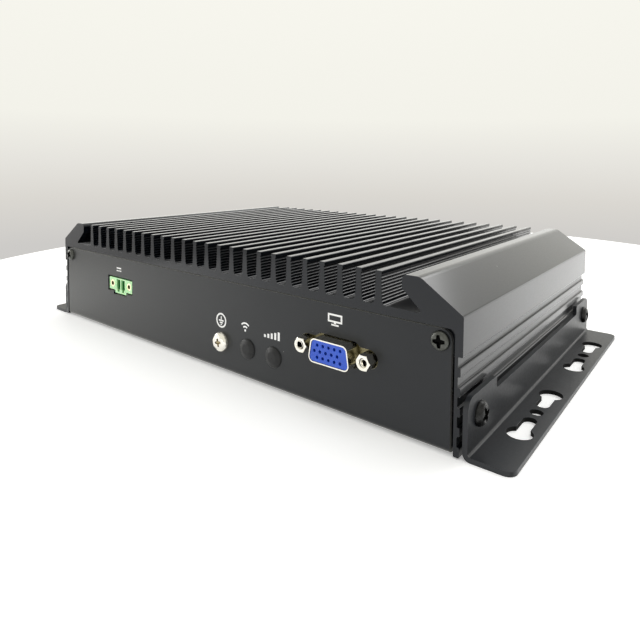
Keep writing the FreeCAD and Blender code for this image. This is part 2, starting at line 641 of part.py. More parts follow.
def d_connector(name, cx, end, sockets):
    """End is -1 on the front panel and +1 on the rear one."""
    out = (0, end, 0)
    back = (0, -end, 0)
    post_x = (cx - POST_SPACING / 2, cx + POST_SPACING / 2)
    shell = along_y(d_corners(cx, 0, 1.9), *outward(end, -D_FLANGE, D_STAND))
    shell = shell.cut(along_y(d_corners(cx, D_METAL, 1.5), *outward(end, -1, D_STAND + 1)))
    half_flange = POST_SPACING / 2 + 3.3
    flange = along_y(rectangle(cx, PORT_Z, half_flange, D_HALF + 1.65, 1.5), *outward(end, -D_FLANGE, -0.02))
    flange = flange.cut(along_y(d_corners(cx, D_METAL / 2, 1.7), *outward(end, -1, 1)))
    for px in post_x:
        flange = flange.cut(rod(POST_TAIL + 0.25, 3, (px, end * (PANEL_IN - 2), PORT_Z), out))
    save(name + "_shell", shell.fuse(flange).removeSplitter())
    posts = []
    for px in post_x:
        seat = (px, end * (PANEL_IN + 0.02), PORT_Z)
        post = hexagon(POST_FLATS, POST_LENGTH, seat, out).common(turned(post_turning, seat, out))
        post = post.fuse(rod(POST_TAIL, 4.5, seat, back))
        thread = rod(POST_THREAD, POST_LENGTH, (px, end * (PANEL_IN + 1.0), PORT_Z), out)
        mouth = (px, end * (PANEL_IN + 0.02 + POST_LENGTH - POST_SINK), PORT_Z)
        sink = Part.makeCone(POST_THREAD, POST_THREAD + POST_SINK, POST_SINK, vec(*mouth), vec(*out))
        posts.append(cut_all(post, [thread, sink]))
    save(name + "_jackposts", *posts)
    y0, y1 = outward(end, -BODY_DEEP, -D_FLANGE - 0.05)
    body = box(cx - half_flange + 0.2, cx + half_flange - 0.2, y0, y1, PORT_Z - D_HALF - 1.45, SEAT_Z)
    for px in post_x:
        body = body.cut(rod(POST_TAIL + 0.35, 6, (px, end * PANEL_IN, PORT_Z), back))
    insert = along_y(d_corners(cx, D_METAL + 0.1, 1.4), *outward(end, -D_FLANGE, 5.8 if sockets else -0.1))
    holes = []
    pins = []
    for hx, hz in d_contacts(cx, sockets):
        if sockets:
            holes.append(rod(0.55, 3.4, (hx, end * (PANEL_IN + 6.2), hz), back))
        else:
            holes.append(rod(0.5, 4.2, (hx, end * (PANEL_IN - 3.2), hz), out))
            pin = [(-3.0, 0, 0), (-3.0, 0.49, 0), (4.6, 0.49, 0), (5.2, 0.25, 0), (5.2, 0, 0)]
            pins.append(turned(pin, (hx, end * PANEL_IN, hz), out))
    insert = cut_all(insert, holes)
    if pins:
        body = cut_all(body, holes)
        save(name + "_pins", *pins)
    save(name + "_body", body)
    save(name + "_insert", insert)


d_connector("vga", VGA_X, -1, True)
d_connector("com", rear_x["com"], 1, False)

# ---- dc_header: two-way pin header with a threaded brass bush in each end
HEADER_BACK = FRONT + 9.0
PIN_HALF = 0.48
BUSH_RADIUS = 1.73
BUSH_BORE = 1.0
BUSH_X = CONTACT_PITCH + 3.09
HEADER_RECESS = 0.3      # face of the header behind the face of the panel
BUSH_LENGTH = 5.1
bush_y = FRONT + HEADER_RECESS + 0.05
dc_header = header_shape(0, FRONT + HEADER_RECESS, HEADER_BACK)
plinth_y = FRONT + SHEET + 1.0
dc_header = dc_header.fuse(box(HEADER_X - 9.0, HEADER_X + 9.0, plinth_y, HEADER_BACK, HEADER_Z, SEAT_Z))
header_nuts = []
header_pins = []
for sx in (-1, 1):
    px = HEADER_X + sx * CONTACT_PITCH / 2
    pocket = box(px - 1.55, px + 1.55, FRONT - 1, FRONT + 7.6, HEADER_Z - 2.3, HEADER_Z + 2.3)
    notch = box(px - 0.9, px + 0.9, FRONT - 1, FRONT + 7.6, HEADER_Z - 3.5, HEADER_Z - 2.3)
    pin_slot = block(px, HEADER_BACK, PIN_HALF + 0.02, 3.0, HEADER_Z - PIN_HALF - 0.02, HEADER_Z + PIN_HALF + 0.02)
    bush_x = HEADER_X + sx * BUSH_X
    bush_hole = rod(BUSH_RADIUS + 0.02, BUSH_LENGTH + 1.02, (bush_x, bush_y - 1, HEADER_Z), (0, 1, 0))
    dc_header = cut_all(dc_header, [pocket.fuse(notch), pin_slot, bush_hole])
    header_pins.append(box(px - PIN_HALF, px + PIN_HALF, FRONT + 1.6, HEADER_BACK + 1.4,
                           HEADER_Z - PIN_HALF, HEADER_Z + PIN_HALF))
    bush = rod(BUSH_RADIUS, BUSH_LENGTH, (bush_x, bush_y, HEADER_Z), (0, 1, 0))
    header_nuts.append(bush.cut(rod(BUSH_BORE, BUSH_LENGTH - 0.6, (bush_x, bush_y, HEADER_Z), (0, 1, 0))))
save("dc_header", dc_header.removeSplitter())
save("dc_header_nuts", *header_nuts)
save("dc_header_pins", *header_pins)

# ---- main_board: hangs component side down under the roof, the processor on its upper face
board_holes = [rod(M3_SHANK + PASS_GAP, BOARD_THICK + 2, (px, py, BOARD_LOW - 1), (0, 0, 1)) for px, py in post_points]
main_board = along_z(rectangle(0, 0, BOARD_X, BOARD_Y, 2.0), BOARD_LOW, BOARD_TOP)
save("main_board", cut_all(main_board, board_holes))

board_standoffs = []
board_screws = []
for px, py in post_points:
    post = hexagon(STANDOFF_FLATS, STANDOFF_LENGTH, (px, py, BOARD_TOP), (0, 0, 1))
    post = post.fuse(rod(POST_STUD, POST_TAP - 0.2, (px, py, ROOF_Z), (0, 0, 1)))
    post = post.cut(rod(M3_SHANK + THREAD_GAP, 5.0, (px, py, BOARD_TOP), (0, 0, 1)))
    board_standoffs.append(post)
    board_screws.append(pan_screw(2.8, 1.7, M3_SHANK, BOARD_THICK + 4.0, (px, py, BOARD_LOW), (0, 0, -1)))
save("board_standoffs", *board_standoffs)
save("board_screws", *board_screws)

CPU_X = -8.0
CPU_Y = 4.0
PACKAGE_TALL = 0.9
DIE_TALL = 0.7
package = block(CPU_X, CPU_Y, 17.5, 13.0, BOARD_TOP, BOARD_TOP + PACKAGE_TALL)
die_top = BOARD_TOP + PACKAGE_TALL + DIE_TALL
die = block(CPU_X, CPU_Y, 6.0, 4.5, BOARD_TOP + PACKAGE_TALL, die_top)
save("processor", package.fuse(die))
spread = rectangle(CPU_X, CPU_Y, 20.0, 22.0, 2.0)
save("thermal_pad_lower", block(CPU_X, CPU_Y, 9.0, 7.0, die_top, die_top + PAD))
save("spreader_block", along_z(spread, die_top + PAD, ROOF_Z - PAD))
save("thermal_pad_upper", along_z(spread, ROOF_Z - PAD, ROOF_Z))

# ---- memory module lying flat in its socket, held by two side arms
MODULE_HALF = 33.8
ARM = 2.6
MEM_X = HALF_W - 49.0
MEM_Y = REAR - 49.0
mem_low = BOARD_LOW - 5.2
arm_x = MODULE_HALF + FIT
memory_socket = box(MEM_X - arm_x - ARM, MEM_X + arm_x + ARM, MEM_Y + 8, MEM_Y + 14.5, mem_low, BOARD_LOW)
for x0 in (MEM_X - arm_x - ARM, MEM_X + arm_x):
    memory_socket = memory_socket.fuse(box(x0, x0 + ARM, MEM_Y - 16, MEM_Y + 8, BOARD_LOW - 4.2, BOARD_LOW))
slot = box(MEM_X - arm_x, MEM_X + arm_x, MEM_Y + 7.5, MEM_Y + 12, mem_low + 1.4, mem_low + 2.6)
save("memory_socket", memory_socket.cut(slot))
memory_module = block(MEM_X, MEM_Y - 3.1, MODULE_HALF, 14.9, mem_low + 1.5, mem_low + 2.5)
for i in range(4):
    chip = block(MEM_X - 24 + i * 16, MEM_Y - 6.5, 5.0, 6.5, mem_low + 0.5, mem_low + 1.5)
    memory_module = memory_module.fuse(chip)
save("memory_module", memory_module)

# ---- wireless card in its socket, beside the memory
CARD_HALF = 11.0
WIFI_X = MEM_X - arm_x - ARM - 3.0 - CARD_HALF
WIFI_Y = FRONT + 38.0
save("wireless_socket", box(WIFI_X - CARD_HALF, WIFI_X + CARD_HALF, WIFI_Y + 14.1, WIFI_Y + 21, BOARD_LOW - 4.0, BOARD_LOW))
card_z = BOARD_LOW - 3.0
wireless_card = box(WIFI_X - CARD_HALF, WIFI_X + CARD_HALF, WIFI_Y - 16, WIFI_Y + 14.1, card_z, card_z + 0.8)
can = block(WIFI_X, WIFI_Y, 9.0, 8.5, card_z - 1.3, card_z)
save("wireless_card", wireless_card.fuse(can))

# ---- clock cell in a round holder at the left
CELL_X = 23.0 - HALF_W
CELL_Y = FRONT + 51.0
CELL_RADIUS = 10.0
CELL_TALL = 3.1
cell_z = BOARD_LOW - 4.6
holder = rod(CELL_RADIUS + 1.4, 4.6, (CELL_X, CELL_Y, cell_z), (0, 0, 1))
save("cell_holder", holder.cut(rod(CELL_RADIUS + 0.15, CELL_TALL, (CELL_X, CELL_Y, cell_z), (0, 0, 1))))
cell = [(0, 0, 0), (0, 8.6, 0), (0.35, 8.6, 0), (0.35, CELL_RADIUS, 0.4), (CELL_TALL, CELL_RADIUS, 0.2), (CELL_TALL, 0, 0)]
save("coin_cell", turned(cell, (CELL_X, CELL_Y, cell_z), (0, 0, 1)))

# ---- power parts behind the power header: three choke coils and three capacitors
POWER_X = 28.0 - HALF_W
POWER_STEP = 14.0
INDUCTOR_Y = FRONT + 20.0
CAPACITOR_Y = INDUCTOR_Y + 11.5
power_inductors = []
bulk_capacitors = []
can_profile = [(0, 0, 0), (0, 4.0, 0), (0.8, 4.0, 0.2), (1.1, 3.7, 0.2), (1.5, 4.0, 0.2), (7.7, 4.0, 0.5), (7.7, 0, 0)]
for i in range(3):
    cx = POWER_X + i * POWER_STEP
    power_inductors.append(along_z(rectangle(cx, INDUCTOR_Y, 5.0, 5.0, 1.0), BOARD_LOW - 4.2, BOARD_LOW))
    bulk_capacitors.append(turned(can_profile, (cx, CAPACITOR_Y, BOARD_LOW), (0, 0, -1)))
save("power_inductors", *power_inductors)
save("bulk_capacitors", *bulk_capacitors)

# ---- storage_drive: a 2.5 inch drive on the tray floor, held by countersunk screws from below
storage_drive = along_z(rectangle(DRIVE_X, DRIVE_Y, DRIVE_WIDE / 2, DRIVE_DEEP / 2, 2.5), TRAY_FLOOR, TRAY_FLOOR + DRIVE_TALL)
drive_end = DRIVE_X + DRIVE_WIDE / 2
drive_cuts = [box(drive_end - 7, drive_end + 1, DRIVE_Y - 22, DRIVE_Y + 20, TRAY_FLOOR + 2, TRAY_FLOOR + 5)]
for px, py in drive_holes:
    drive_cuts.append(rod(M3_SHANK + THREAD_GAP, 3.5, (px, py, TRAY_FLOOR), (0, 0, 1)))
save("storage_drive", cut_all(storage_drive, drive_cuts))
sunk_screw = [
    (0.05, 0, 0), (0.05, SINK_RADIUS - 0.15, 0), (SHEET - 0.05, M3_SHANK + 0.15, 0), (SHEET - 0.05, M3_SHANK, 0),
    (SHEET + 3.0, M3_SHANK, 0.2), (SHEET + 3.0, 0, 0),
]
save("drive_screws", *[turned(sunk_screw, (px, py, TRAY_Z), (0, 0, 1)) for px, py in drive_holes])


# ---- rear sockets: folded metal shells hanging from the board, with their moulded cores
def shell_box(cx, wide, tall, deep, proud):
    y1 = REAR + proud
    outer = rectangle(cx, SEAT_Z - tall / 2, wide / 2, tall / 2, 0.4)
    inner = rectangle(cx, SEAT_Z - tall / 2, wide / 2 - SHELL_METAL, tall / 2 - SHELL_METAL, 0.2)
    return along_y(outer, y1 - deep, y1).cut(along_y(inner, y1 - deep + SHELL_METAL, y1 + 1))


def core_block(cx, wide, tall, y0, y1):
    inset = SHELL_METAL + CORE_GAP
    return box(cx - wide / 2 + inset, cx + wide / 2 - inset, y0, y1, SEAT_Z - tall + inset, SEAT_Z - inset)


TONGUE = 1.9             # thickness of a dual socket's contact tongue
BRIDGE = 1.3             # half height of the bar between its two openings
for name in ("1", "2"):
    cx = rear_x["usb_" + name]
    middle = SEAT_Z - USB_TALL / 2
    save("usb_shell_" + name, shell_box(cx, USB_WIDE, USB_TALL, 17.5, 0.4))
    core = core_block(cx, USB_WIDE, USB_TALL, REAR - 16.7, REAR - 10.5)
    inset = SHELL_METAL + CORE_GAP
    core = core.fuse(box(cx - USB_WIDE / 2 + inset, cx + USB_WIDE / 2 - inset, REAR - 11, REAR + 0.1,
                         middle - BRIDGE, middle + BRIDGE))
    for zc in (middle + BRIDGE + 2.2, middle - BRIDGE - 2.2 - TONGUE):
        core = core.fuse(box(cx - 5.5, cx + 5.5, REAR - 11, REAR - 0.7, zc, zc + TONGUE))
    save("usb_core_" + name, core.removeSplitter())

for name in ("1", "2"):
    cx = rear_x["lan_" + name]
    save("lan_shell_" + name, shell_box(cx, LAN_WIDE, LAN_TALL, 21.0, 0.3))
    core = core_block(cx, LAN_WIDE, LAN_TALL, REAR - 20.2, REAR + 0.1)
    low = SEAT_Z - LAN_TALL + 1.9
    mouth = [
        box(cx - 5.9, cx + 5.9, REAR - 12.5, REAR + 1, low + 2.2, low + 9.4),
        box(cx - 3.1, cx + 3.1, REAR - 12.5, REAR + 1, low + 0.7, low + 2.3),
        box(cx - 1.7, cx + 1.7, REAR - 12.5, REAR + 1, low - 0.5, low + 0.8),
    ]
    save("lan_core_" + name, cut_all(core, mouth))

cx = rear_x["hdmi"]
save("hdmi_shell", shell_box(cx, HDMI_WIDE, HDMI_TALL, 12.0, 0.4))
hdmi_core = core_block(cx, HDMI_WIDE, HDMI_TALL, REAR - 11.2, REAR - 8.0)
tongue_z = SEAT_Z - HDMI_TALL / 2
hdmi_core = hdmi_core.fuse(box(cx - 5.9, cx + 5.9, REAR - 8.5, REAR - 0.6, tongue_z - 0.7, tongue_z + 0.6))
save("hdmi_core", hdmi_core.removeSplitter())

# ---- power button: a collared plunger that slides in a turned housing clamped in the rear panel
RIM_TALL = 1.4
BUTTON_PROUD = 1.6       # plunger above the rim at rest
STOP = SHEET + 2.0       # shoulder that holds the collar in
COLLAR_TALL = 2.18
HOUSING_DEEP = SHEET + 9.0
housing_profile = [
    (-HOUSING_DEEP, 0, 0), (-HOUSING_DEEP, BUTTON_BARREL, 0.3), (0, BUTTON_BARREL, 0), (0, BUTTON_RIM, 0.1),
    (RIM_TALL, BUTTON_RIM, 0.6), (RIM_TALL, BUTTON_RADIUS + RUN, 0.1), (-STOP, BUTTON_RADIUS + RUN, 0),
    (-STOP, BUTTON_COLLAR + 0.3, 0), (-STOP - COLLAR_TALL - BUTTON_TRAVEL - 0.6, BUTTON_COLLAR + 0.3, 0),
    (-STOP - COLLAR_TALL - BUTTON_TRAVEL - 0.6, 0, 0),
]
button_base = (rear_x["button"], REAR, BUTTON_Z)
save("power_button_housing", turned(housing_profile, button_base, (0, 1, 0)))
button_top = RIM_TALL + BUTTON_PROUD
button_profile = [
    (-STOP - COLLAR_TALL, 0, 0), (-STOP - COLLAR_TALL, BUTTON_COLLAR, 0.2), (-STOP - 0.02, BUTTON_COLLAR, 0.2),
    (-STOP - 0.02, BUTTON_RADIUS, 0), (button_top, BUTTON_RADIUS, 0.5), (button_top, 2.6, 1.0),
    (button_top - 0.35, 0, 0),
]
save("power_button", turned(button_profile, button_base, (0, 1, 0)))
nut_base = (rear_x["button"], PANEL_IN, BUTTON_Z)
button_nut = hexagon(14.0, 2.5, nut_base, (0, -1, 0))
save("power_button_nut", button_nut.cut(rod(BUTTON_BARREL + THREAD_GAP, 2.5, nut_base, (0, -1, 0))))
light_profile = [(-8.0, 0, 0), (-8.0, LIGHT_RADIUS, 0.2), (0, LIGHT_RADIUS, 0), (0.7, 1.2, 0.4), (0.9, 0, 0)]
lights = []
for dz in (LIGHT_RAISE, -LIGHT_RAISE):
    lights.append(turned(light_profile, (rear_x["lights"], REAR, BUTTON_Z + dz), (0, 1, 0)))
save("status_light_pipes", *lights)
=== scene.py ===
import math

import bmesh
import bpy
import numpy as np
from mathutils import Matrix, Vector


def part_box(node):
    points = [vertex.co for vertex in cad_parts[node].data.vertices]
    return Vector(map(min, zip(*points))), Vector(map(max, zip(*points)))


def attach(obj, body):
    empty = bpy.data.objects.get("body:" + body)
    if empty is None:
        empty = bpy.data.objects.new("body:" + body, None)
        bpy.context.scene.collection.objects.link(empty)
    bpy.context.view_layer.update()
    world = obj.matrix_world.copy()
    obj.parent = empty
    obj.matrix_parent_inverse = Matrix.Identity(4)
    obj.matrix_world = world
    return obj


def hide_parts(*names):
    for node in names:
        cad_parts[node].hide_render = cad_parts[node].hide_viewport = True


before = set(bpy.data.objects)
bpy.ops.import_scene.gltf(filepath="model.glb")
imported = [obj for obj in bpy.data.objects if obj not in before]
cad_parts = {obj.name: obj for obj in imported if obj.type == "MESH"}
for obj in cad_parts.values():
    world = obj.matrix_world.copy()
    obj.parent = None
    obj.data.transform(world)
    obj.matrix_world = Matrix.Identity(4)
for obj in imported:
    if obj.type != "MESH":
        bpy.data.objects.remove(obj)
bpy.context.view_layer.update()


# Heatsink body. One extrusion of 6063 aluminium: roof, fins, shoulders and grooved side walls in a
# single section, cut to length, bead blasted and dyed black in the anodising bath. Its satin oxide
# goes pale where light grazes it, and the die leaves faint lines along it.
MM = 0.001
# nearly all the values of a noise lie between these two
NOISE_LOW = 0.3
NOISE_HIGH = 0.7


def linear(code):
    """Linear colour from an sRGB hex code: each channel through the inverse of the sRGB curve."""
    channels = [int(code[i:i + 2], 16) / 255 for i in (1, 3, 5)]
    return [c / 12.92 if c <= 0.04045 else ((c + 0.055) / 1.055) ** 2.4 for c in channels] + [1.0]


def add(tree, kind, values=None, links=None, **settings):
    """Adds one node: its settings, then the values of its sockets by name or number, then its links."""
    node = tree.nodes.new("ShaderNode" + kind)
    for key, value in settings.items():
        setattr(node, key, value)
    for key, value in (values or {}).items():
        node.inputs[key].default_value = value
    for key, socket in (links or {}).items():
        tree.links.new(socket, node.inputs[key])
    return node


def finish_of(name, values, patch, shades, grit, rough, depth, stretch=(1, 1, 1)):
    """A surface finish. Its colour wanders between two hex shades over patches of the given size, and
    one finer noise of grain size grit sets the roughness between two values and a bump of the given
    depth. Sizes are in metres; stretch scales the noise along each axis, so under 1 draws it out."""
    material = bpy.data.materials.new(name)
    material.use_nodes = True
    tree = material.node_tree
    tree.nodes.clear()
    shader = add(tree, "BsdfPrincipled", values)
    add(tree, "OutputMaterial", links={"Surface": shader.outputs["BSDF"]})
    place = add(tree, "TexCoord").outputs["Object"]
    broad = add(tree, "TexNoise", {"Scale": 1 / patch, "Detail": 3.0}, {"Vector": place})
    ramp = add(tree, "ValToRGB", links={"Fac": broad.outputs["Fac"]})
    for stop, position, shade in zip(ramp.color_ramp.elements, (NOISE_LOW, NOISE_HIGH), shades):
        stop.position = position
        stop.color = linear(shade)
    tree.links.new(ramp.outputs["Color"], shader.inputs["Base Color"])
    drawn = add(tree, "Mapping", {"Scale": stretch}, {"Vector": place}).outputs["Vector"]
    fine = add(tree, "TexNoise", {"Scale": 1 / grit, "Detail": 2.0}, {"Vector": drawn})
    spread = add(tree, "MapRange", {"From Min": NOISE_LOW, "From Max": NOISE_HIGH,
                                    "To Min": rough[0], "To Max": rough[1]},
                 {"Value": fine.outputs["Fac"]})
    tree.links.new(spread.outputs["Result"], shader.inputs["Roughness"])
    bump = add(tree, "Bump", {"Strength": 1.0, "Distance": depth}, {"Height": fine.outputs["Fac"]})
    tree.links.new(bump.outputs["Normal"], shader.inputs["Normal"])
    return material


def tint(material, mask, shade):
    """Lays a hex shade over a material's base colour where mask, a socket from 0 to 1, is high. A Mix
    node of colours takes its factor at socket 0 and its colours at 6 and 7, and gives them at 2."""
    tree = material.node_tree
    base_colour = tree.nodes["Principled BSDF"].inputs["Base Color"]
    below = base_colour.links[0].from_socket
    over = add(tree, "Mix", {7: linear(shade)}, {0: mask, 6: below}, data_type="RGBA")
    tree.links.new(over.outputs[2], base_colour)


def dust(material, spacing, size, shade):
    """Specks of dust: one round spot of the given size about every spacing, at most half opaque. A
    spot is where the distance to a random cell's point, counted in spacings, is under half the size."""
    tree = material.node_tree
    place = tree.nodes["Texture Coordinate"].outputs["Object"]
    cells = add(tree, "TexVoronoi", {"Scale": 1 / spacing}, {"Vector": place})
    spot = size / spacing / 2
    near = add(tree, "MapRange", {"From Min": spot, "From Max": spot / 2, "To Max": 0.5},
               {"Value": cells.outputs["Distance"]})
    tint(material, near.outputs["Result"], shade)


def dress(material, *nodes):
    """Puts a material on every face of each CAD node."""
    for node in nodes:
        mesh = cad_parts[node].data
        mesh.materials.clear()
        mesh.materials.append(material)


# anodised aluminium, bead blasted and dyed: a black ground under clear sealed oxide, which is a thin
# smooth coat, with a pale sheen where light grazes it. The grit marks are about 0.15 mm and are drawn
# at 0.4 mm, four times as long as wide, so that they show. The few grains of dust are as coarse.
GRIT = 0.4 * MM
ALONG_THE_DIE = (1, 0.25, 1)
DUST_GRAIN = 0.4 * MM
anodised = finish_of("anodised_aluminium", {"IOR": 1.5, "Specular IOR Level": 0.1, "Coat Weight": 1.0,
                                            "Coat Roughness": 0.14, "Coat IOR": 1.38,
                                            "Sheen Weight": 1.0, "Sheen Roughness": 0.2,
                                            "Specular Tint": linear("#dce6ff")},
                     18 * MM, ("#030508", "#06090e"), GRIT, (0.31, 0.35), 0.0001 * MM, ALONG_THE_DIE)
dust(anodised, 14 * MM, DUST_GRAIN, "#c9c9c4")
dress(anodised, "heatsink_body")


# Heat path. A milled aluminium block takes the processor's heat to the roof, between two soft pads
# of grey-blue silicone filled with ceramic, which are pressed in and hold by their own tack.

# milled aluminium: bright and pale, with the cutter's lines along the block
bare = finish_of("milled_aluminium", {"Metallic": 1.0}, 6 * MM, ("#c4c5c6", "#d6d7d8"),
                 0.5 * MM, (0.28, 0.42), 0.01 * MM, (1, 0.05, 1))
dress(bare, "spreader_block")
# silicone filled with ceramic: dull, soft and a little mottled
gap_pad = finish_of("silicone_gap_pad", {"IOR": 1.41}, 3 * MM, ("#8c97a6", "#9ea8b5"),
                    0.6 * MM, (0.6, 0.8), 0.03 * MM)
dress(gap_pad, "thermal_pad_upper", "thermal_pad_lower")


# Main board. Glass-epoxy laminate under green solder mask, hung from the roof on hexagonal brass
# standoffs by zinc-plated screws. The copper under the mask shows as fine paler lanes.

# solder mask, a screened lacquer: glossy deep green, a little uneven over the glass weave
laminate = finish_of("solder_mask", {"IOR": 1.5}, 9 * MM, ("#0f4a2a", "#145a33"),
                     1.2 * MM, (0.25, 0.38), 0.02 * MM)
tree = laminate.node_tree
place = tree.nodes["Texture Coordinate"].outputs["Object"]
# copper lanes 0.24 mm wide, 0.8 mm apart, joined across every 8.8 mm
LANE = 0.8 * MM
COPPER = 0.12 * MM
lanes = add(tree, "TexBrick", {"Scale": 1.0, "Mortar Size": COPPER, "Brick Width": 11 * LANE,
                               "Row Height": LANE, "Color1": (0, 0, 0, 1), "Color2": (0, 0, 0, 1),
                               "Mortar": (1, 1, 1, 1)}, {"Vector": place})
tint(laminate, lanes.outputs["Fac"], "#2b7a4c")
dress(laminate, "main_board", "memory_module", "wireless_card")
# turned brass: warm yellow and bright, with fine tool marks
brass = finish_of("turned_brass", {"Metallic": 1.0}, 1 * MM, ("#d2ad62", "#e3c583"),
                  0.25 * MM, (0.22, 0.34), 0.003 * MM)
dress(brass, "board_standoffs")
# zinc plate, clear passivated: cool grey and half bright
zinc = finish_of("zinc_plate", {"Metallic": 1.0}, 2 * MM, ("#b4b6b8", "#c9cacc"),
                 0.3 * MM, (0.26, 0.4), 0.004 * MM)
dress(zinc, "board_screws")


# Parts on the board. A moulded processor, sockets of black polyamide, the pressed-ferrite chokes
# and drawn aluminium cans of the power supply, and the steel clock cell in its clip.

# epoxy filled with glass, moulded: dark grey and matt from the mould's grit
epoxy = finish_of("moulded_epoxy", {"IOR": 1.55}, 3 * MM, ("#1c1c1d", "#262627"),
                  0.3 * MM, (0.5, 0.65), 0.008 * MM)
dress(epoxy, "processor")
# polyamide, moulded: satin black
moulded = finish_of("black_polyamide", {"IOR": 1.53}, 2 * MM, ("#151516", "#1e1e1f"),
                    0.4 * MM, (0.36, 0.5), 0.006 * MM)
dress(moulded, "memory_socket", "wireless_socket", "cell_holder", "vga_body", "com_body")
# ferrite powder, pressed and fired: dark grey, dull and grainy like stone
ferrite = finish_of("pressed_ferrite", {"IOR": 1.8}, 2 * MM, ("#343437", "#454549"),
                    0.25 * MM, (0.45, 0.6), 0.01 * MM)
dress(ferrite, "power_inductors")
# drawn aluminium: white and bright, with drawing marks up the can
can = finish_of("drawn_aluminium_can", {"Metallic": 1.0}, 3 * MM, ("#c8c9cc", "#dadbdd"),
                0.3 * MM, (0.2, 0.3), 0.003 * MM, (1, 1, 0.1))
dress(can, "bulk_capacitors")
# stainless steel, turned or pressed smooth: neutral grey with a sharp shine
stainless = finish_of("turned_stainless", {"Metallic": 1.0}, 4 * MM, ("#b3b3b1", "#c6c6c4"),
                      0.2 * MM, (0.18, 0.28), 0.002 * MM)
dress(stainless, "coin_cell")


# Storage drive. A slim case of pressed aluminium under dark lacquer, screwed to the floor of the
# tray from below.

# lacquer sprayed on aluminium: dark grey satin
lacquer = finish_of("dark_lacquer", {"IOR": 1.5}, 12 * MM, ("#26272a", "#303135"),
                    0.5 * MM, (0.32, 0.44), 0.005 * MM)
dress(lacquer, "storage_drive")


# Display socket. Nickel-plated drawn shell and hexagonal jack posts round an insulator of blue
# polyester with fifteen contact holes, pale where it is lit and dark down the holes.

# nickel plated bright on drawn steel: a warm, slightly wavy mirror, with a painted shade that makes it
# darker and browner where it sinks behind the panel
nickel = finish_of("nickel_plate", {"Metallic": 1.0}, 2 * MM, ("#ebe7db", "#f6f3eb"),
                   0.8 * MM, (0.08, 0.14), 0.0006 * MM)
tray_low, tray_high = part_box("chassis_tray")
BRIGHT_FROM = tray_high[1] + 0.5 * MM
FULL_SHADE_FROM = tray_high[1] - 0.9 * MM
tree = nickel.node_tree
place = tree.nodes["Texture Coordinate"].outputs["Object"]
along = add(tree, "SeparateXYZ", links={"Vector": place})
from_middle = add(tree, "Math", links={0: along.outputs["Y"]}, operation="ABSOLUTE")
painted_shade_depth = add(tree, "MapRange", {"From Min": BRIGHT_FROM, "From Max": FULL_SHADE_FROM},
           {"Value": from_middle.outputs[0]})
# painted shade: olive brown laid over the nickel where it lies behind the panel face
tint(nickel, painted_shade_depth.outputs["Result"], "#757059")
dress(nickel, "vga_shell", "vga_jackposts")
# polyester, moulded: an even, clear blue satin
blue = finish_of("blue_polyester", {"IOR": 1.55}, 3 * MM, ("#1c4abe", "#2557cc"),
                 0.4 * MM, (0.34, 0.44), 0.003 * MM)
dress(blue, "vga_insert")


# Power header. Pale green polyamide housing with two brass bushes for the plug's screws and two
# tinned pins. Down its slots a painted shade darkens the green, where little light gets back out.

# polyamide, moulded: pale green satin with a little light inside it
green = finish_of("green_polyamide",
                  {"IOR": 1.53, "Subsurface Weight": 0.1, "Subsurface Scale": 0.5 * MM},
                  2 * MM, ("#b0eaa6", "#c6f3bd"), 0.5 * MM, (0.32, 0.42), 0.003 * MM)
header_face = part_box("dc_header")[0][1]
SLOT_MOUTH = header_face + 0.3 * MM
SLOT_DARK = header_face + 1.2 * MM
tree = green.node_tree
place = tree.nodes["Texture Coordinate"].outputs["Object"]
along = add(tree, "SeparateXYZ", links={"Vector": place})
painted_shade_depth = add(tree, "MapRange", {"From Min": SLOT_MOUTH, "From Max": SLOT_DARK},
           {"Value": along.outputs["Y"]})
# painted shade: a deep green laid over the housing down its slots
tint(green, painted_shade_depth.outputs["Result"], "#1c8a34")
dress(green, "dc_header")
# brass under a thin pale plate: light yellow and bright
plated_brass = finish_of("plated_brass", {"Metallic": 1.0}, 1 * MM, ("#ece4b4", "#f6f0cc"),
                         0.25 * MM, (0.2, 0.3), 0.002 * MM)
dress(plated_brass, "dc_header_nuts")
# tin plate: whitish grey with a soft shine
tin = finish_of("tin_plate", {"Metallic": 1.0}, 1 * MM, ("#c6c6c4", "#d9d9d6"),
                0.25 * MM, (0.25, 0.38), 0.003 * MM)
dress(tin, "dc_header_pins")


# Rear connectors. Serial plug, display socket, two double USB ports and two network sockets, each
# a plated steel shell folded round its moulded core.
dress(nickel, "com_shell", "com_jackposts", "hdmi_shell", "usb_shell_1", "usb_shell_2")
dress(tin, "com_pins", "lan_shell_1", "lan_shell_2")
dress(moulded, "com_insert", "hdmi_core", "lan_core_1", "lan_core_2")
dress(blue, "usb_core_1", "usb_core_2")


# Power button and status lights. A turned stainless plunger runs in a turned bezel held by a zinc
# plated nut, and two clear acrylic pipes carry the light of the status lamps through the panel.
dress(stainless, "power_button_housing", "power_button")
dress(zinc, "power_button_nut")
# acrylic, moulded: clear, with faintly frosted ends
acrylic = finish_of("clear_acrylic", {"IOR": 1.49, "Transmission Weight": 0.75}, 1 * MM,
                    ("#e6ebe7", "#f1f4f1"), 0.4 * MM, (0.1, 0.2), 0.001 * MM)
dress(acrylic, "status_light_pipes")


# Chassis tray. Floor and both end panels are folded from one 1.2 mm steel sheet, then powder coated
# black. It hangs from both ends of the heatsink by a screw at each corner.
ORANGE_PEEL = 0.9 * MM
PANEL_DUST = 0.35 * MM
# powder coat, sprayed dry and baked: even black satin with a fine orange peel and a pale sheen, and
# a few grains of dust drawn coarse enough to show
powder = finish_of("powder_coat", {"IOR": 1.5, "Specular IOR Level": 0.36, "Sheen Weight": 0.6,
                                  "Sheen Roughness": 0.35, "Sheen Tint": linear("#fcfbf0")},
                   30 * MM, ("#12151a", "#171a1e"), ORANGE_PEEL, (0.3, 0.38), 0.002 * MM)
dust(powder, 12 * MM, PANEL_DUST, "#d5d5d0")
dress(powder, "chassis_tray")
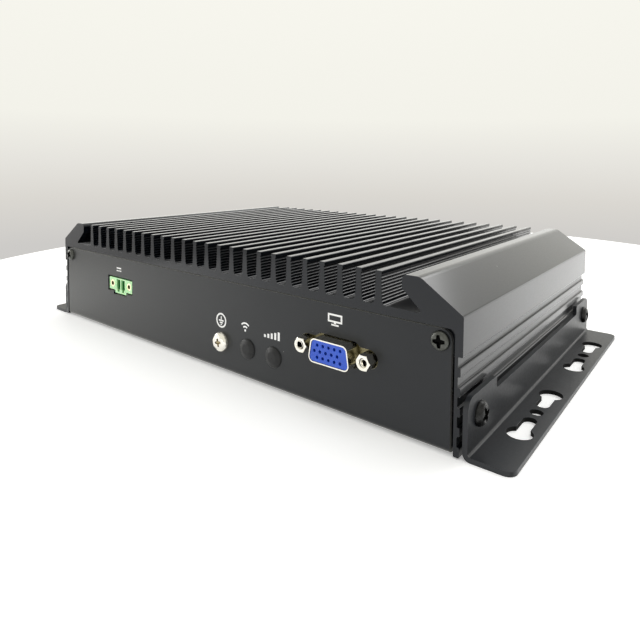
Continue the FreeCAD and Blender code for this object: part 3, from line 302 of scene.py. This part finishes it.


# Corner screws of both panels. M3 pan heads with a cross recess, steel with a dark zinc-nickel
# plate; the recess is painted black as shade.
def grid_faces(rows, columns, wrap_rows, wrap_columns):
    """Quads of a grid of rows by columns of points; a wrapped way joins its last line to its first."""
    row = np.arange(rows - (not wrap_rows))
    column = np.arange(columns - (not wrap_columns))
    row, column = np.meshgrid(row, column, indexing="ij")
    here = row * columns
    below = (row + 1) % rows * columns
    beside = (column + 1) % columns
    quads = np.stack([here + column, here + beside, below + beside, below + column], axis=-1)
    return quads.reshape(-1, 4).tolist()


def facing(points, base, axis):
    """Sets points on base with their +Z along axis. Their +Y goes to the upright, or to +X where the
    axis is upright itself, and their +X to that crossed with the axis."""
    out = np.asarray(axis, float)
    side = np.array([0.0, 0.0, 1.0]) if abs(out[2]) < 0.5 else np.array([1.0, 0.0, 0.0])
    basis = np.stack([np.cross(side, out), side, out])
    return points @ basis + np.asarray(base)


def mesh_piece(name, materials, parts):
    """One object that rides on the case, from several closed shells, each given as its points, its
    faces and the material number of every face. The normals of each shell are turned outwards."""
    starts = np.cumsum([0] + [len(points) for points, faces, kinds in parts])
    faces = []
    for start, part in zip(starts, parts):
        faces += [[int(i) + int(start) for i in face] for face in part[1]]
    kinds = np.concatenate([part[2] for part in parts]).astype(np.int32)
    mesh = bpy.data.meshes.new(name)
    mesh.from_pydata(np.concatenate([part[0] for part in parts]).tolist(), [], faces)
    for material in materials:
        mesh.materials.append(material)
    mesh.polygons.foreach_set("material_index", kinds)
    shell = bmesh.new()
    shell.from_mesh(mesh)
    bmesh.ops.recalc_face_normals(shell, faces=shell.faces)
    shell.to_mesh(mesh)
    shell.free()
    piece = bpy.data.objects.new(name, mesh)
    bpy.context.scene.collection.objects.link(piece)
    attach(piece, "case")
    return piece


# shares of a head's radius: where its rim starts, and the grid lines that follow its round edge
RIM = 0.999
EDGE_LINES = [0.80, 0.87, 0.92, 0.955, 0.98, 0.993, 1.0]
# the roundness of its edge, the share of an arm's half width in its sloping walls, how much wider the
# cross is in the middle, and how much shallower it is at the ends of its arms
EDGE_POWER = 0.45
WALL_SHARE = 0.3
FLARE = 0.6
RISE_OUTWARDS = 0.5
# faces sunk by more than this share of the recess take the painted shade
DARK_FROM = 0.3


def recessed_head(radius, height, arm_half, arm_reach, depth, base, axis, power, twist):
    """Pan head over a disc: its height is (1 - r to a power) to the edge power. A square grid is
    pressed into the disc by x = u sqrt(1 - v v / 2), y = v sqrt(1 - u u / 2), and a cross along the
    grid is sunk into it, deepest in the middle. Before that the arms are made wider towards the middle:
    u grows by a share that falls off along v and beyond the arm, and v the same way along u. The
    arms are given in shares of the radius, and twist turns the cross, in degrees."""
    ramp = arm_half * WALL_SHARE
    marks = [0.0, arm_half - ramp, arm_half, arm_reach - ramp, arm_reach] + EDGE_LINES
    marks += list(np.linspace(arm_half + 0.05, arm_reach - ramp - 0.05, 6))
    half = np.array(sorted(set(marks)))
    ticks = np.concatenate([-half[:0:-1], half])
    u, v = np.meshgrid(ticks, ticks, indexing="ij")

    def inside(t, edge, fade):
        """1 within the edge and 0 beyond it, with a slope of the given width inside it."""
        return np.clip((edge - np.abs(t)) / fade, 0, 1)

    upright = inside(u, arm_half, ramp) * inside(v, arm_reach, ramp)
    level = inside(v, arm_half, ramp) * inside(u, arm_reach, ramp)
    cross = np.maximum(upright, level)
    inner = arm_reach - arm_half
    widen_u = FLARE * inside(v, arm_reach, arm_reach) * inside(u, arm_reach, inner)
    widen_v = FLARE * inside(u, arm_reach, arm_reach) * inside(v, arm_reach, inner)
    u, v = u * (1 + widen_u), v * (1 + widen_v)
    x = u * np.sqrt(1 - v * v / 2)
    y = v * np.sqrt(1 - u * u / 2)
    r = np.sqrt(x * x + y * y)
    crown = height * np.clip(1 - r ** power, 0, 1) ** EDGE_POWER
    sink = depth * cross * (1 - RISE_OUTWARDS * np.clip(r / arm_reach, 0, 1))
    z = np.where(r >= RIM, 0, crown - sink)
    turn = math.radians(twist)
    px = radius * (x * math.cos(turn) - y * math.sin(turn))
    py = radius * (x * math.sin(turn) + y * math.cos(turn))
    count = len(ticks)
    faces = grid_faces(count, count, False, False)
    index = np.arange(count * count).reshape(count, count)
    rim = list(index[0, :]) + list(index[1:, -1]) + list(index[-1, -2::-1]) + list(index[-2:0:-1, 0])
    dark = cross.reshape(-1)[np.array(faces)].mean(axis=1) > DARK_FROM
    points = np.stack([px, py, z], axis=-1).reshape(-1, 3)
    return facing(points, base, axis), faces + [rim], np.append(dark, False)


def shaft(radius, length, base, axis, sides=24):
    """Closed cylinder from base along axis: two rings of points, the side and two end faces."""
    angle = np.linspace(0, 2 * math.pi, sides, endpoint=False)
    ring = np.stack([radius * np.cos(angle), radius * np.sin(angle), np.zeros(sides)], axis=-1)
    faces = grid_faces(2, sides, False, True) + [list(range(sides)), list(range(sides, 2 * sides))]
    return facing(np.concatenate([ring, ring + [0, 0, length]]), base, axis), faces, np.zeros(sides + 2)


# zinc-nickel plate on rolled steel: dark satin grey metal with faint tool marks
dark_plate = finish_of("zinc_nickel_plate", {"Metallic": 1.0}, 1.5 * MM, ("#4a4b48", "#5c5d59"),
                       0.3 * MM, (0.3, 0.4), 0.003 * MM)
# painted shade for recesses and deep bores: nearly black and matt
recess_shade = finish_of("painted_recess_shade", {"IOR": 1.45, "Specular IOR Level": 0.1}, 0.5 * MM,
                  ("#020202", "#060606"), 0.3 * MM, (0.6, 0.8), 0.002 * MM)
screw_low, screw_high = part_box("panel_screws")
M3_HEAD = 2.85 * MM
M3_CROWN = 1.5 * MM
M3_RECESS = 1.45 * MM
M3_SHANK = 1.28 * MM
M3_LENGTH = 8 * MM
screw_x = screw_high[0] - M3_HEAD
screw_z = (screw_low[2] + screw_high[2]) / 2
parts = []
for end, face_y in ((-1, tray_low[1]), (1, tray_high[1])):
    for side, twist in ((-1, 24), (1, -5)):
        base = (side * screw_x, face_y, screw_z)
        parts.append(recessed_head(M3_HEAD, M3_CROWN, 0.17, 0.66, M3_RECESS, base, (0, end, 0),
                                   power=5.0, twist=twist * end))
        parts.append(shaft(M3_SHANK, M3_LENGTH, base, (0, -end, 0)))
panel_screws = mesh_piece("panel_screw_set", [dark_plate, recess_shade], parts)
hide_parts("panel_screws")


# Drive screws. Four M3 steel screws with low heads and a cross recess, blackened in a hot oxide bath
# and driven up through the floor of the tray into the drive.

# black oxide on steel, oiled: black metal with a wet shine
black_oxide = finish_of("black_oxide_steel", {"Metallic": 0.9}, 1.5 * MM, ("#242424", "#333333"),
                        0.3 * MM, (0.22, 0.34), 0.004 * MM)
dress(black_oxide, "drive_screws")


# Earth screw and nut. M4, bright nickel plate, with a shallow cross recess; it clamps the lug of the
# protective earth wire against the panel, into a press nut of zinc-plated steel.
low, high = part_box("ground_screw")
M4_SHANK = 1.95 * MM
EARTH_LENGTH = 6.4 * MM
EARTH_HEAD = (high[0] - low[0]) / 2
EARTH_CROWN = tray_low[1] - low[1]
EARTH_RECESS = 0.9 * MM
base = ((low[0] + high[0]) / 2, tray_low[1], (low[2] + high[2]) / 2)
# painted shade for the screw's cross recess: nickel darkened to brownish yellow and a little dull
recess_shade_nickel = finish_of("painted_recess_shade_nickel", {"Metallic": 1.0}, 1 * MM, ("#8d8264", "#a89c7e"),
                    0.3 * MM, (0.2, 0.3), 0.002 * MM)
# the cross recess takes the painted shade
earth_screw = mesh_piece("earth_screw", [nickel, recess_shade_nickel], [
    recessed_head(EARTH_HEAD, EARTH_CROWN, 0.10, 0.42, EARTH_RECESS, base, (0, -1, 0),
                  power=8.0, twist=12),
    shaft(M4_SHANK, EARTH_LENGTH, base, (0, 1, 0)),
])
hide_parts("ground_screw")
dress(zinc, "ground_nut")


# Post threads. The jack posts of both D connectors are tapped to take the plug's screws: a fine rolled
# thread, bright at the mouth and painted black as shade further down.
def thread_sleeve(outer, groove, pitch, length, wall, base, axis, around=36, levels=42):
    """Closed cup with a thread inside it. Its profile runs up the outer wall and then down the inner
    one, whose radius is outer - wall - groove times a triangle wave of height over pitch plus turn."""
    turn = np.linspace(0, 2 * math.pi, around, endpoint=False)
    height = np.linspace(0, length, levels)
    outside = np.stack([np.full(2, outer), np.array([0.0, length])], axis=-1)
    wave = np.abs(2 * ((height[:, None] / pitch + turn[None] / (2 * math.pi)) % 1) - 1)
    thread = outer - wall - groove * wave
    radius = np.concatenate([np.broadcast_to(outside[:, :1], (2, around)), thread[::-1]])
    level = np.concatenate([np.broadcast_to(outside[:, 1:], (2, around)),
                            np.broadcast_to(height[::-1, None], thread.shape)])
    points = np.stack([radius * np.cos(turn), radius * np.sin(turn), level], axis=-1)
    rows = len(radius)
    faces = grid_faces(rows, around, False, True)
    faces += [list(range(around)), list(range((rows - 1) * around, rows * around))]
    points = points.reshape(-1, 3)
    # faces further than 1.3 pitches in from the mouth, and the inner bottom, take the painted shade
    deep = points[np.array(faces[:-2]), 2].mean(axis=1) < length - 1.3 * pitch
    return facing(points, base, axis), faces, np.append(deep, [False, True])


POST_BORE = 1.33 * MM
GROOVE = 0.22 * MM
THREAD_PITCH = 0.635 * MM
SLEEVE = 2.4 * MM
SLEEVE_WALL = 0.02 * MM
MOUTH = 0.25 * MM
parts = []
for node, end in (("vga_jackposts", -1), ("com_jackposts", 1)):
    low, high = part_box(node)
    post_end = low[1] if end < 0 else high[1]
    post_z = (low[2] + high[2]) / 2
    half = (high[2] - low[2]) / 2
    for post_x in (low[0] + half, high[0] - half):
        base = (post_x, post_end - end * (SLEEVE + MOUTH), post_z)
        parts.append(thread_sleeve(POST_BORE, GROOVE, THREAD_PITCH, SLEEVE, SLEEVE_WALL,
                                   base, (0, end, 0)))
post_threads = mesh_piece("post_threads", [nickel, recess_shade], parts)


# Aerial plugs. Caps of soft black polyethylene, moulded and pressed into the two aerial holes of the
# front panel, which are not in use. A snap ring behind the panel holds each.

# polyethylene, moulded: waxy black, half matt
plug_plastic = finish_of("black_polyethylene", {"IOR": 1.51, "Specular IOR Level": 0.35}, 3 * MM,
                         ("#0a0b0c", "#101112"), 0.5 * MM, (0.34, 0.44), 0.006 * MM)
dress(plug_plastic, "antenna_plug_1", "antenna_plug_2")


# Panel marks. White two-part ink screen printed on the coat: earth, radio wave, signal strength,
# screen and direct-current signs over the screw, the plugs, the display socket and the header.
INK = 0.02 * MM


def stroke(points, width, closed):
    """Flat ribbon along a path on the panel, as a closed shell. Each point of the path moves half the
    width to both sides along the mitre of its two edges, once on the panel and once INK in front."""
    p = np.asarray(points, float)
    before, after = np.roll(p, 1, axis=0), np.roll(p, -1, axis=0)
    if not closed:
        before[0], after[-1] = 2 * p[0] - p[1], 2 * p[-1] - p[-2]
    enter = (p - before) / np.linalg.norm(p - before, axis=1, keepdims=True)
    leave = (after - p) / np.linalg.norm(after - p, axis=1, keepdims=True)
    mitre = (enter + leave) / np.linalg.norm(enter + leave, axis=1, keepdims=True)
    mitre_length = width / 2 / np.sum(mitre * enter, axis=1, keepdims=True)
    aside = np.stack([-mitre[:, 1], mitre[:, 0]], axis=-1) * mitre_length
    ring = np.stack([p + aside, p + aside, p - aside, p - aside], axis=1)
    lift = np.broadcast_to(np.array([0, INK, INK, 0])[:, None], ring.shape[:2] + (1,))
    points = np.concatenate([ring, lift], axis=-1).reshape(-1, 3)
    faces = grid_faces(len(p), 4, closed, True)
    if not closed:
        faces += [[0, 1, 2, 3], list(range(4 * len(p) - 4, 4 * len(p)))]
    return points, faces


def bow(radius, start, stop, centre=(0, 0), steps=24):
    """Points of an arc round a centre: radius times the cosine and sine of angles, in degrees."""
    angle = np.radians(np.linspace(start, stop, steps))
    return np.stack([radius * np.cos(angle) + centre[0], radius * np.sin(angle) + centre[1]], axis=-1)


def centre_of(node):
    """Sideways and upward place of the middle of a CAD node's box."""
    low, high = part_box(node)
    return (low[0] + high[0]) / 2, (low[2] + high[2]) / 2


# every sign, in mm: how far it stands beside and above its item, then its strokes, each a path, a
# width and whether the path is closed
RING = bow(2.55, 0, 352.5, steps=48)
signs = {
    "ground_screw": (-0.5, 8.1, [
        (RING, 0.64, True),
        ([(0, 1.6), (0, 0)], 0.5, False),
        ([(-1.35, -0.05), (1.35, -0.05)], 0.58, False),
        ([(-0.85, -0.88), (0.85, -0.88)], 0.5, False),
        ([(-0.4, -1.6), (0.4, -1.6)], 0.45, False),
    ]),
    "antenna_plug_1": (-1.3, 8.0, [
        (bow(0.24, 0, 330, (0, -1.3), 12), 0.46, True),
        (bow(1.4, 45, 135, (0, -1.3)), 0.6, False),
        (bow(2.7, 45, 135, (0, -1.3)), 0.6, False),
    ]),
    "antenna_plug_2": (-0.85, 7.9, [
        ([(1.7 * step, -1.5), (1.7 * step, 0.5 + 0.5 * step)], 0.95, False) for step in range(-2, 3)
    ]),
    "vga_insert": (-1.0, 9.65, [
        ([(-2.6, -0.6), (2.6, -0.6), (2.6, 1.6), (-2.6, 1.6)], 0.6, True),
        ([(0, -0.9), (0, -1.6)], 0.8, False),
        ([(-1.5, -1.7), (1.5, -1.7)], 0.55, False),
    ]),
    "dc_header": (-0.8, 7.3, [
        ([(-1.9, 0.65), (1.9, 0.65)], 0.6, False),
        ([(-1.9, -0.6), (-1.0, -0.6)], 0.6, False),
        ([(-0.45, -0.6), (0.45, -0.6)], 0.6, False),
        ([(1.0, -0.6), (1.9, -0.6)], 0.6, False),
    ]),
}
parts = []
for node, (aside, above_it, strokes) in signs.items():
    x, z = centre_of(node)
    origin = (x + aside * MM, tray_low[1], z + above_it * MM)
    for path, width, closed in strokes:
        points, faces = stroke(np.asarray(path) * MM, width * MM, closed)
        parts.append((facing(points, origin, (0, -1, 0)), faces, np.zeros(len(faces))))
# ink of epoxy and white pigment, screened and baked: opaque satin white, a little uneven
ink = finish_of("white_ink", {"IOR": 1.5}, 2 * MM, ("#f0f0ee", "#fafaf8"),
                0.3 * MM, (0.4, 0.55), 0.001 * MM)
marks = mesh_piece("panel_marks", [ink], parts)


# Mounting brackets. 1.5 mm steel angles, punched and folded, in a powder coat a little greyer than
# the tray's, held by flanged rivet nuts in the side walls.

# powder coat as on the tray, a shade greyer; on the walls of the punched holes it is dull, and a
# painted
# shade makes it nearly black: there it is below the flange's top, and inside the flange's outer edges
bracket_coat = finish_of("bracket_powder_coat", {"IOR": 1.5, "Specular IOR Level": 0.4}, 25 * MM,
                         ("#1b1d21", "#202327"), ORANGE_PEEL, (0.3, 0.38), 0.003 * MM)
flange_low, flange_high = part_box("mounting_bracket_right")
FLANGE = 1.5 * MM
flange_top = flange_low[2] + FLANGE
tree = bracket_coat.node_tree
place = tree.nodes["Texture Coordinate"].outputs["Object"]
part_of = add(tree, "SeparateXYZ", links={"Vector": place})
WALL_TOP = flange_top - 0.02 * MM
WALL_DARK = flange_top - 0.25 * MM
hole_wall_shade = add(tree, "MapRange", {"From Min": WALL_TOP, "From Max": WALL_DARK},
                {"Value": part_of.outputs["Z"]})
for axis, outer_edge in (("X", flange_high[0]), ("Y", flange_high[1])):
    from_middle = add(tree, "Math", links={0: part_of.outputs[axis]}, operation="ABSOLUTE")
    within = add(tree, "MapRange", {"From Min": outer_edge - 0.4 * MM,
                                    "From Max": outer_edge - 1.2 * MM},
                 {"Value": from_middle.outputs[0]})
    hole_wall_shade = add(tree, "Math", links={0: hole_wall_shade.outputs[0], 1: within.outputs[0]},
                    operation="MULTIPLY")
# painted shade: near black laid over the coat on the walls of the holes
tint(bracket_coat, hole_wall_shade.outputs[0], "#040405")
roughness = tree.nodes["Principled BSDF"].inputs["Roughness"]
dull = add(tree, "Math", links={0: roughness.links[0].from_socket, 1: hole_wall_shade.outputs[0]},
           operation="ADD", use_clamp=True)
tree.links.new(dull.outputs[0], roughness)
dust(bracket_coat, 12 * MM, PANEL_DUST, "#d5d5d0")
dress(bracket_coat, "mounting_bracket_right", "mounting_bracket_left")
dress(zinc, "bracket_nuts")


# Bracket screws. M4 steel screws with pan heads and a cross recess, blackened and oiled. They pass
# through the brackets' tabs into the rivet nuts of the side walls.
low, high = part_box("bracket_screws")
M4_HEAD = 3.7 * MM
M4_CROWN = 2.0 * MM
M4_RECESS = 1.6 * MM
M4_LENGTH = 5 * MM
screw_face = high[0] - M4_CROWN
screw_y = high[1] - M4_HEAD
screw_z = (low[2] + high[2]) / 2
parts = []
for side in (-1, 1):
    for end, twist in ((-1, 20), (1, 55)):
        base = (side * screw_face, end * screw_y, screw_z)
        parts.append(recessed_head(M4_HEAD, M4_CROWN, 0.15, 0.62, M4_RECESS, base, (side, 0, 0),
                                   power=4.0, twist=twist))
        parts.append(shaft(M4_SHANK, M4_LENGTH, base, (-side, 0, 0)))
# the cross recesses take the painted black shade
bracket_screws = mesh_piece("bracket_screw_set", [black_oxide, recess_shade], parts)
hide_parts("bracket_screws")


# Camera. A short lens close to the front right corner, a little above the machine. It looks nearly
# level, turned and rolled as below, and its frame is shifted down to take the machine in.
camera_data = bpy.data.cameras.new("camera")
camera_data.sensor_width = 36
camera_data.lens = 29.58
camera_data.shift_x = -0.0286
camera_data.shift_y = -0.2047
camera_data.clip_start = 0.01
camera = bpy.data.objects.new("camera", camera_data)
bpy.context.scene.collection.objects.link(camera)
camera.location = (0.16885, -0.20307, 0.08151)
YAW = math.radians(37.23)
PITCH = math.radians(-2.95)
ROLL = math.radians(0.58)
forward = np.array([-math.sin(YAW) * math.cos(PITCH), math.cos(YAW) * math.cos(PITCH), math.sin(PITCH)])
level = np.array([math.cos(YAW), math.sin(YAW), 0.0])
above = np.cross(level, forward)
right = math.cos(ROLL) * level + math.sin(ROLL) * above
upward = -math.sin(ROLL) * level + math.cos(ROLL) * above
camera.rotation_euler = Matrix(np.stack([right, upward, -forward], axis=1).tolist()).to_euler()
bpy.context.scene.camera = camera


# Table. A white laminate top with a round far edge. Cameras and reflections see a small glow added
# to its white, which keeps the machine's shadow as thin as under a wide soft light.
TABLE_CENTRE = np.array([-0.026, 0.116])
TABLE_RADIUS = 0.313
TABLE_NEAR = 0.6
NEAR_WAY = math.radians(318)
CORNERS = 240
# its rim: a circle that grows towards the near way by the square of the cosine of the angle between
angle = np.linspace(0, 2 * math.pi, CORNERS, endpoint=False)
rim_radius = TABLE_RADIUS + TABLE_NEAR * np.clip(np.cos(angle - NEAR_WAY), 0, 1) ** 2
rim = TABLE_CENTRE + np.stack([rim_radius * np.cos(angle), rim_radius * np.sin(angle)], axis=-1)
rim = np.concatenate([rim, np.zeros((CORNERS, 1))], axis=1)
table_mesh = bpy.data.meshes.new("table")
table_mesh.from_pydata(rim.tolist(), [], [list(range(CORNERS))])
table = bpy.data.objects.new("table", table_mesh)
bpy.context.scene.collection.objects.link(table)
GLOW = 0.26
table_white = bpy.data.materials.new("white_laminate")
table_white.use_nodes = True
tree = table_white.node_tree
tree.nodes.clear()


def seen_directly(tree):
    """A socket that is 1 for camera, glossy and transmission rays and 0 for those that light matt
    surfaces."""
    path = add(tree, "LightPath").outputs
    seen = add(tree, "Math", links={0: path["Is Camera Ray"], 1: path["Is Glossy Ray"]},
               operation="MAXIMUM")
    return add(tree, "Math", links={0: seen.outputs[0], 1: path["Is Transmission Ray"]},
               operation="MAXIMUM").outputs[0]


share = add(tree, "Math", {1: GLOW}, {0: seen_directly(tree)}, operation="MULTIPLY")
plain = add(tree, "BsdfPrincipled", {"Base Color": linear("#fdfdfc"), "Roughness": 0.6})
glow = add(tree, "Emission", {"Color": linear("#fefefd")}, {"Strength": share.outputs[0]})
both = add(tree, "AddShader", links={0: plain.outputs[0], 1: glow.outputs[0]})
add(tree, "OutputMaterial", links={"Surface": both.outputs[0]})
table_mesh.materials.append(table_white)


# Room. A plain warm white wall, greyer low down, is what cameras and reflections see of it. Matt
# surfaces get an even light from all round.
world = bpy.data.worlds.new("room")
bpy.context.scene.world = world
world.use_nodes = True
tree = world.node_tree
tree.nodes.clear()
way = add(tree, "SeparateXYZ", links={"Vector": add(tree, "TexCoord").outputs["Generated"]})
height = add(tree, "MapRange", {"From Min": -0.2, "From Max": 0.3}, {"Value": way.outputs["Z"]})
wall_ramp = add(tree, "ValToRGB", links={"Fac": height.outputs["Result"]})
wall_ramp.color_ramp.elements[0].color = linear("#cbc9c6")
wall_ramp.color_ramp.elements[1].color = linear("#f7f6ee")
for position, code in ((0.12, "#cdcbc8"), (0.27, "#dad7d1"), (0.40, "#e6e4de"), (0.56, "#f3f2ea")):
    wall_ramp.color_ramp.elements.new(position).color = linear(code)
ROOM_LIGHT = 0.92
wall = add(tree, "Background", {"Strength": 1.0}, {"Color": wall_ramp.outputs["Color"]})
even = add(tree, "Background", {"Color": linear("#f6f6f4"), "Strength": ROOM_LIGHT})
room = add(tree, "MixShader", links={0: seen_directly(tree), 1: even.outputs[0], 2: wall.outputs[0]})
add(tree, "OutputWorld", links={"Surface": room.outputs[0]})


# Lamps. Four soft boxes that no camera sees: one overhead, a large one behind the machine like a
# window, a low strip at its far right for the side wall, and one at the left that grazes the front.
def lamp(name, place, target, width, height, radiance):
    """Soft rectangular light at place, aimed at target. Its power is pi times its area times the
    radiance wanted. Its own axes are across and upright to the way from the target to its place."""
    data = bpy.data.lights.new(name, "AREA")
    data.shape = "RECTANGLE"
    data.size = width
    data.size_y = height
    data.energy = math.pi * width * height * radiance
    light = bpy.data.objects.new(name, data)
    bpy.context.scene.collection.objects.link(light)
    light.location = place
    light.visible_camera = False
    aim = np.asarray(target, float) - np.asarray(place, float)
    away = -aim / np.linalg.norm(aim)
    across = np.cross([0, 0, 1.0], away)
    across /= np.linalg.norm(across)
    axes = np.stack([across, np.cross(away, across), away], axis=1)
    light.rotation_euler = Matrix(axes.tolist()).to_euler()


lamp("overhead", (0.1, 0.3, 1.5), (0, 0, 0), 1.0, 1.0, 1.0)
lamp("window", (0.3, 1.3, 1.25), (0.1, 0, 0.03), 1.2, 0.8, 2.8)
lamp("low_side", (0.72, 1.0, 0.13), (0.11, 0, 0.03), 0.8, 0.24, 1.5)
lamp("left_side", (-1.3, -0.55, 0.25), (-0.1, -0.07, 0.03), 1.0, 0.5, 4.0)


# Finish. Colours are shown as they are written.
bpy.context.scene.view_settings.view_transform = "Standard"
